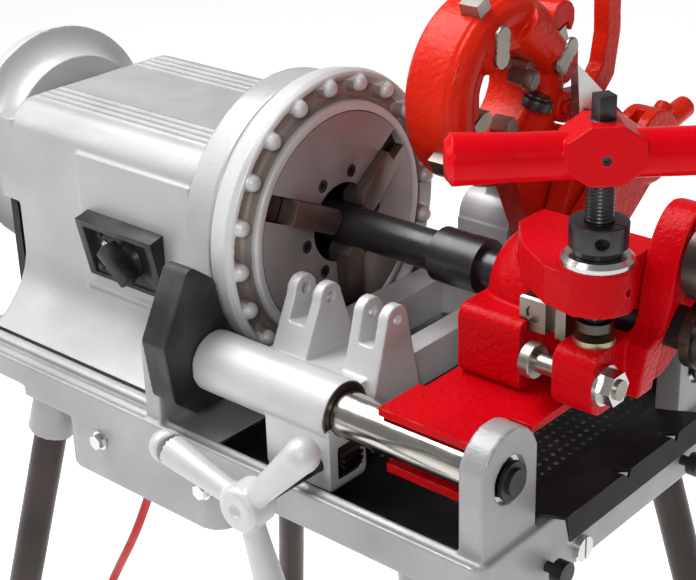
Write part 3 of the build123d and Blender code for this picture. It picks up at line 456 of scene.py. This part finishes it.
# ---- base and stand ----
base = Shape().node("base_casting")
base.rod((-298, -168, -124.2), (1, 0, 0), 556, 2.3)
base.rod((-298, -159, -124.4), (1, 0, 0), 556, 2.0)
cast("base_shell", base, base_paint, "frame", ["base_casting"], 1.5, 3)

# ---- gear housing, shroud and switch ----
housing = Shape().node("gear_housing")
housing.box(-197, -64, -100.8, -90, -96, 44)
housing.box(-194, -104, -102.5, -92, -72, -68)
cast("housing_shell", housing, grey_paint, "frame", ["gear_housing"], 1.5, 5)
cast("wheel_shroud", Shape().node("chuck_shroud"), grey_paint, "frame", ["chuck_shroud"], 1.3, 3)

machined("switch_hood", Shape().node("switch_bezel"), black_plastic, "frame", ["switch_bezel"], 1.0)
knob_turn = math.radians(-38)
paddle = []
for across, over in ((-19, -7), (17, -7), (17, 7), (-19, 7)):
    paddle.append((switch_x + across * math.cos(knob_turn) - over * math.sin(knob_turn),
                   switch_z + across * math.sin(knob_turn) + over * math.cos(knob_turn)))
machined("switch_paddle", Shape().prism("y", -122, -107, paddle), black_plastic, "switch",
         ["switch_knob"], 1.6)
switch_collar = Shape().lathe((switch_x, switch_y, switch_z), (0, -1, 0),
                              [(0, 0), (0, 15), (6, 15), (8, 13), (10, 12), (10, 0)], 64)
machined("switch_collar", switch_collar, black_plastic, "switch", [], 0.5)
hood_screws = Shape()
for screw_height in (-27, -44):
    hood_screws.lathe((-166, -102.8, screw_height), (0, -1, 0),
                      [(0, 0), (0, 3.4), (1.2, 3.4), (2.2, 2.2), (2.4, 0)], 32)
machined("hood_screws", hood_screws, bright_steel, "frame", [], 0.2)

# ---- hammer wheel and rear wheel ----
wheel = Shape().lathe((0, 0, 0), (1, 0, 0), [
    (-28, 88.5), (-0.5, 88.5), (0.6, 89.5), (0.6, 94), (-1, 96), (-10, 97.5), (-12.5, 99), (-13, 107),
    (-9.5, 111.5), (-4.5, 114), (-2.5, 116), (-4, 118.6), (-9, 120.6), (-24, 118.5), (-30, 113.5), (-29, 100)], 160)
for knob in range(knob_count):
    knob_y, knob_z = polar(109.8, knob * 360 / knob_count + 2.8)
    wheel.rod((-16, knob_y, knob_z), (1, 0, 0), 12, 8.2, 6.9, sides=32)
    wheel.ball((-4.2, knob_y, knob_z), 7.0, (1.05, 1, 1))
knobbed_wheel = cast("knobbed_wheel", wheel, light_metal, "wheel", ["hammer_wheel"], 0.9, 2)
chuck = machined("chuck_face", Shape().node("chuck_body"), chuck_steel, "spindle", ["chuck_body"], 0.5)


def second_material(thing, material, behind, inner, outer, facing=-2.0):
    """Gives it to the faces behind a plane across the spindle and between two radii about it, in metres."""
    thing.data.materials.append(material)
    for face in thing.data.polygons:
        centre = face.center - place(0, 0, 0)
        if centre.x < behind and inner < math.hypot(centre.y, centre.z) < outer and face.normal.x > facing:
            face.material_index = 1


second_material(knobbed_wheel, channel_paint, -0.0035, 0.0965, 0.1105, facing=-0.2)
second_material(chuck, dark_steel, -0.0006, -1.0, 0.0838)
for number, angle in enumerate(jaw_angles, start=1):
    radial = Vector((0, *polar(1, angle)))
    sideways = Vector((0, *polar(1, angle + 90)))
    outline = [(16.4, -5), (16.4, 5), (22, 10), (66, 10), (66, -10), (22, -10)]
    jaw = Shape()
    jaw.block_between([place(-8, 0, 0) + (radial * r + sideways * t) / 1000 for r, t in outline],
                      [place(13 - 0.10 * max(0, r - 22), 0, 0) + (radial * r + sideways * t) / 1000
                       for r, t in outline])
    machined(f"gripping_jaw_{number}", jaw, jaw_steel, f"jaw_{'abc'[number - 1]}",
             [f"jaw_{number}"], 0.5)
cast("rear_handwheel", Shape().node("rear_wheel"), light_metal, "rear_chuck", ["rear_wheel"],
     1.2, 3)

# ---- carriage and its handle ----
cast("carriage_body", Shape().node("carriage_casting"), light_metal, "carriage",
     ["carriage_casting"], 1.0, 8)
wiper = Shape().lathe((115, -130, -73.4), (1, 0, 0),
                      [(-6, 17.3), (0.2, 17.3), (0.8, 18.2), (0.8, 22.6), (0, 23.4), (-6, 23.4)], 96)
machined("barrel_wiper", wiper, dark_steel, "carriage", [], 0.2)
cast("three_arm_handle", Shape().node("pinion_handle"), light_metal, "carriage_handle",
     ["pinion_handle"], 0.9, 8)

# ---- groover ----
cast("groover_plate", Shape().node("groover_base"), crimson, "frame", ["groover_base"], 1.0, 3)
cast("groover_housing", Shape().node("groover_body"), crimson, "frame", ["groover_body"], 1.0, 6,
     holes=Shape().rod((286, -61.5, 47), (1, -0.06, 0), 20, 3.2, sides=24))
cast("groover_lever", Shape().node("lever_arm"), crimson, "groover_lever", ["lever_arm"], 0.9, 8,
     early=Shape().prism("y", -90, -8, [(296, -60), (325, -60), (325, 34), (309.5, 34)]))
arm_way = Vector((0.731, 0.682, 0))
hub_front = Vector((0.682, -0.731, 0))
hub_half_depth = 16.5


def beside_screw(way, distance, height):
    """A place at a distance from the feed screw's axis."""
    return screw_x + distance * way[0], screw_y + distance * way[1], height


hub = Shape()
for way in (-arm_way, arm_way):
    hub.rod((screw_x, screw_y, handle_z), way, 62, 15.5, 15.5)
    hub.rod(beside_screw(way, 58, handle_z), way, 36, 15.6, 16.9)
    hub.rod(beside_screw(way, 93.5, handle_z), way, 4.2, 16.6, 12)
octagon = ((-10, 157), (-25, 146.5), (-25, 128.5), (-10, 117.8), (10, 117.8), (25, 128.5), (25, 146.5), (10, 157))
hub.block_between(*[[place(screw_x, screw_y, height) + (arm_way * reach + side * hub_front * hub_half_depth) / 1000
                     for reach, height in octagon] for side in (1, -1)])
cast("feed_handle", hub, crimson_gloss, "feed", ["t_handle"], 0.8, 3,
     holes=Shape().rod(beside_screw(hub_front, 12, handle_z + 1), hub_front, 12, 3.2, sides=24))
set_screw = Shape().lathe(beside_screw(hub_front, 12.5, handle_z + 1), hub_front,
                          [(0, 0), (0, 3), (3, 3), (3, 1.6), (1, 1.6), (1, 0)], 24)
machined("handle_set_screw", set_screw, black_oxide, "feed", [], 0.2)
square = []
for corner in range(4):
    corner_x, corner_y = polar(8.1, 16 + 90 * corner)
    square.append((screw_x + corner_x, screw_y + corner_y))
thread = [(0, 0), (0, 8.6)]
for pitch in range(54):
    thread += [(1 + 2.5 * pitch, 8.5), (2.1 + 2.5 * pitch, 9.4)]
thread += [(136, 8.6), (136, 0)]
feed_screw = Shape().lathe((screw_x, screw_y, 21.4), (0, 0, 1), thread, 48).prism("z", 155, 172.8, square)
machined("feed_screw_thread", feed_screw, black_oxide, "feed", ["feed_screw"], 0.25)
collar = Shape().lathe((screw_x, screw_y, 68.3), (0, 0, 1),
                       [(0, 9.6), (0, 16), (5, 16), (5, 19.3), (21, 19.5), (21.7, 18.8), (21.7, 9.6)], 96)
collar_cuts = Shape().box(screw_x, screw_x + 27, screw_y - 0.6, screw_y + 0.6, 66, 92)
collar_cuts.rod((screw_x + 13, screw_y - 25, 81), (-0.1, 1, 0), 16, 4, sides=32)
machined("depth_collar", collar, black_oxide, "feed", ["depth_nut"], 0.3, holes=collar_cuts)

# ---- tools at the back ----
head = Shape().node("die_head")
head.lathe((die_head_x, 90, 100), (1, 0, 0),
           [(-14, 46), (1, 46), (6, 49), (9, 55), (9.5, 62), (7, 68), (1, 73.5), (-14, 73.5)], 128)
head.ball((die_head_x, 68, 142), 18, (0.75, 1, 1.25))
head.rod((die_head_x - 1, 104, 152), (0.04, 0.76, -0.65), 56, 18, 16.5, sides=48)
cast("die_head_casting", head, orange, "threader", ["die_head"], 1.0, 7)
pads = Shape()
for pad_x, pad_y, pad_z, lean_y, lean_z in ((102.5, 66, 143, 0.5, 8), (106.5, 145, 118, 6, 5.5)):
    for sign in (-1, 0, 1):
        pads.rod((pad_x, pad_y + sign * lean_y, pad_z + sign * lean_z), (1, 0, 0), 4, 8.2, sides=48)
cast("machined_number_pads", pads, die_steel, "threader", [], 0.7, 3)
dial = Shape().rod((97, 122, 80), (0.2, 0.2, 0.95), 8, 12.5, sides=96)
dial.rod((98.6, 123.6, 87.5), (0.2, 0.2, 0.95), 3, 9.5, sides=64)
machined("knurled_size_dial", dial, black_oxide, "threader", [], 0.8)
stud = Shape().lathe((die_head_x, 96, 113), (1, 0.1, -0.15),
                     [(0, 0), (0, 7), (12, 7), (13, 8.2), (20, 8.2), (21.5, 6.5), (22, 0)], 64)
machined("die_clamp_stud", stud, jaw_steel, "threader", [], 0.3)
cast("die_head_lever", Shape().node("die_lever"), orange, "threader_lever", ["die_lever"], 0.8, 8)
cast("reamer_holder", Shape().node("reamer_arm"), orange, "reamer", ["reamer_arm"], 0.9, 6)
cutter = Shape().node("pipe_cutter").rod((146, 214, 43), (0, 0.985, 0.17), 54, 10.5, 9.5, sides=40)
cast("cutter_frame", cutter, orange, "cutter", ["pipe_cutter"], 0.9, 6)
cast("cutter_feed_knob", Shape().rod((146, 225, 53.3), (0, 0.809, 0.588), 13, 9, 8, sides=40), orange, "cutter_feed",
     ["cutter_screw"], 0.9, 3)

# ---- guard ----
cast("rail_end_guard", Shape().node("rail_guard"), black_rubber, "frame", ["rail_guard"], 0.9, 5)

# ---- CAD nodes that keep their shape ----
carried = {
    "stand_legs": leg_paint, "foot_tips": black_rubber, "motor_case": black_paint, "motor_rotor": dark_steel,
    "idler_cluster": dark_steel, "spindle_tube": dark_steel, "spindle_bearings": dark_steel,
    "chuck_screws": black_oxide, "rails": rail_steel, "rail_plugs": black_plastic, "chip_tray": black_paint,
    "tray_knobs": black_plastic, "base_bolts": bright_steel, "lift_handle": black_paint, "drive_shaft": black_oxide,
    "drive_roll": dark_steel, "shaft_bushes": dark_steel, "stop_block": die_steel, "lever_pivot_pin": bright_steel,
    "roll_pin": die_steel, "flange_nut": bright_steel, "thrust_seat": zinc_steel, "groove_roll_axle": bright_steel,
    "groove_roll": dark_steel, "swivel_pad": dark_steel, "dished_washer": bright_steel, "pinion_shaft": dark_steel,
    "tool_hinge_shaft": dark_steel, "threading_dies": die_steel, "reamer_blade": bright_steel,
    "cutter_wheel": dark_steel, "strain_relief": black_rubber, "plug": black_rubber,
}
for name, material in carried.items():
    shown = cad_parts[name].data
    shown.materials.clear()
    shown.materials.append(material)

# ---- studio ----
floor_material, floor_tree, floor_shader = new_material("studio_floor", (0.86, 0.86, 0.85), 0, 0.6)
floor_tone = ramp(floor_tree, noise(floor_tree, 1.5, 3), 0.3, 0.7, (0.85, 0.85, 0.84), (0.88, 0.88, 0.875))
floor_tree.links.new(floor_tone, floor_shader.inputs["Base Color"])
floor_shader.inputs["Emission Color"].default_value = (1, 1, 1, 1)
floor_shader.inputs["Emission Strength"].default_value = 0.62
floor_mesh = bmesh.new()
bmesh.ops.create_grid(floor_mesh, x_segments=1, y_segments=1, size=9)
floor_data = bpy.data.meshes.new("studio_floor")
floor_mesh.to_mesh(floor_data)
floor_object = bpy.data.objects.new("studio_floor", floor_data)
floor_data.materials.append(floor_material)
scene.collection.objects.link(floor_object)

world = bpy.data.worlds.new("studio")
world.use_nodes = True
dome = world.node_tree.nodes["Background"]
dome.inputs["Color"].default_value = (1, 1, 1, 1)
dome.inputs["Strength"].default_value = 0.30
scene.world = world


def area_light(name, position, target, size, power):
    data = bpy.data.lights.new(name, "AREA")
    data.shape = "RECTANGLE"
    data.size, data.size_y = size
    data.energy = power
    light = bpy.data.objects.new(name, data)
    light.location = position
    light.rotation_euler = (Vector(target) - Vector(position)).to_track_quat("-Z", "Y").to_euler()
    scene.collection.objects.link(light)


area_light("overhead", (-1.0, -0.35, 2.9), (0, 0, 0.9), (1.9, 1.3), 74)
area_light("left_softbox", (-2.0, -1.2, 2.0), (0, 0, 0.9), (0.9, 1.4), 13)
area_light("right_softbox", (1.6, -2.2, 2.3), (0, 0, 0.9), (0.8, 0.8), 30)
scene.view_settings.view_transform = "Standard"
